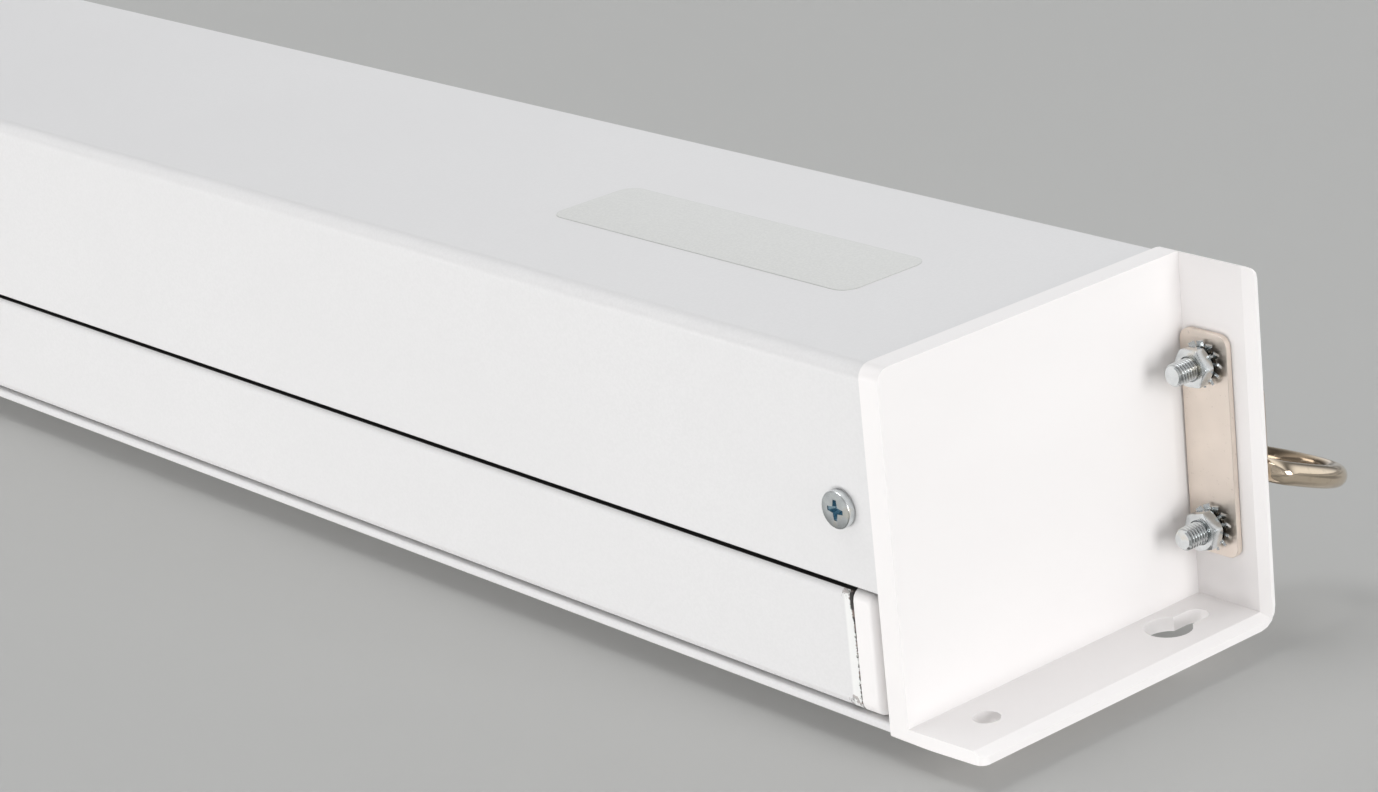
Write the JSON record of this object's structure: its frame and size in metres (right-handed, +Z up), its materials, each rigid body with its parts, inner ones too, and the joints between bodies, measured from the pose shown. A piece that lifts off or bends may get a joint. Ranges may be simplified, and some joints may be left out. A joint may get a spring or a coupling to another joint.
{
  "type": "pull-down projection screen",
  "caption": "Manual pull-down projection screen in a square white metal case with moulded end caps, hanging rings, a spring roller and a weighted slat.",
  "frame": {"origin": "on the wall plane, midway between the seats of the two keyholes, where the wall screws bear", "axes": "+X along the case to the end with the idler, +Y into the wall, +Z up; the front faces -Y"},
  "size_m": [1.7066, 0.08, 0.1559],
  "materials": {
    "case_paint": "white powder coat with a very fine texture",
    "moulding": "white moulding, satin",
    "nickel_strap": "dull nickel plate",
    "nickel_ring": "bright nickel plate",
    "zinc_plate": "bluish zinc plate",
    "bare_steel": "bare steel",
    "screen_cloth": "matt white screen cloth with black edges",
    "nylon": "natural nylon",
    "black_plastic": "black moulding"
  },
  "bodies": {
    "case": {"housing": "case_paint", "end_cap_right": "moulding", "end_cap_left": "moulding", "case_screw_right_under": "zinc_plate", "case_screw_right_top": "zinc_plate", "hanger_saddle_right": "nickel_strap", "hanger_backing_plate_right": "nickel_strap", "hanger_screw_right_front": "zinc_plate", "hanger_lock_washer_right_front": "zinc_plate", "hanger_nut_right_front": "zinc_plate", "hanger_screw_right_back": "zinc_plate", "hanger_lock_washer_right_back": "zinc_plate", "hanger_nut_right_back": "zinc_plate", "case_screw_left_under": "zinc_plate", "case_screw_left_top": "zinc_plate", "hanger_saddle_left": "nickel_strap", "hanger_backing_plate_left": "nickel_strap", "hanger_screw_left_front": "zinc_plate", "hanger_lock_washer_left_front": "zinc_plate", "hanger_nut_left_front": "zinc_plate", "hanger_screw_left_back": "zinc_plate", "hanger_lock_washer_left_back": "zinc_plate", "hanger_nut_left_back": "zinc_plate", "idler_bush": "nylon", "spindle": "bare_steel", "ratchet_wheel": "bare_steel", "winding_spring": "bare_steel"},
    "ring_right": {"hanger_ring_right": "nickel_ring"},
    "ring_left": {"hanger_ring_left": "nickel_ring"},
    "roller": {"roller_tube": "bare_steel", "fabric_roll": "screen_cloth", "idler_hub": "black_plastic", "pawl_hub": "bare_steel", "pawl_rivet_upper": "bare_steel", "pawl_rivet_lower": "bare_steel", "spring_anchor": "black_plastic"},
    "pawl_upper": {"pawl_upper": "bare_steel"},
    "pawl_lower": {"pawl_lower": "bare_steel"},
    "slat": {"slat_bar": "case_paint", "slat_plug_right": "moulding", "slat_plug_left": "moulding", "fabric_rod": "nylon", "screen_fabric": "screen_cloth", "handle_bracket": "zinc_plate", "handle_rivet_1": "zinc_plate", "handle_rivet_2": "zinc_plate", "handle_rivet_3": "zinc_plate", "handle_rivet_4": "zinc_plate"},
    "pull_handle": {"pull_handle": "zinc_plate"}
  },
  "joints": [
    {"name": "ring_right_swing", "type": "hinge", "parent": "case", "child": "ring_right", "pos_m": [0.838, -0.0335, 0.014], "axis": [-1, 0, 0], "range_deg": [-104, 67]},
    {"name": "ring_left_swing", "type": "hinge", "parent": "case", "child": "ring_left", "pos_m": [-0.838, -0.0335, 0.014], "axis": [-1, 0, 0], "range_deg": [-104, 67]},
    {"name": "slat_drop", "type": "slide", "parent": "case", "child": "slat", "axis": [0, 0, -1], "range_m": [0, 1.6], "deforming": ["screen_fabric"]},
    {"name": "roller_turn", "type": "hinge", "parent": "case", "child": "roller", "pos_m": [0, -0.04134, -0.0308], "axis": [-1, 0, 0], "range_deg": [0, 4320]},
    {"name": "pawl_upper_swing", "type": "hinge", "parent": "roller", "child": "pawl_upper", "pos_m": [-0.80945, -0.04134, -0.0173], "axis": [1, 0, 0], "range_deg": [-8, 15.7]},
    {"name": "pawl_lower_swing", "type": "hinge", "parent": "roller", "child": "pawl_lower", "pos_m": [-0.80945, -0.04134, -0.0443], "axis": [1, 0, 0], "range_deg": [-8, 15.7]},
    {"name": "pull_handle_swing", "type": "hinge", "parent": "slat", "child": "pull_handle", "pos_m": [0, -0.0166, -0.0788], "axis": [1, 0, 0], "range_deg": [-80, 25]}
  ],
  "couplings": [
    {"joint": "roller_turn", "follows": "slat_drop", "rad_per_m": 47.124}
  ]
}
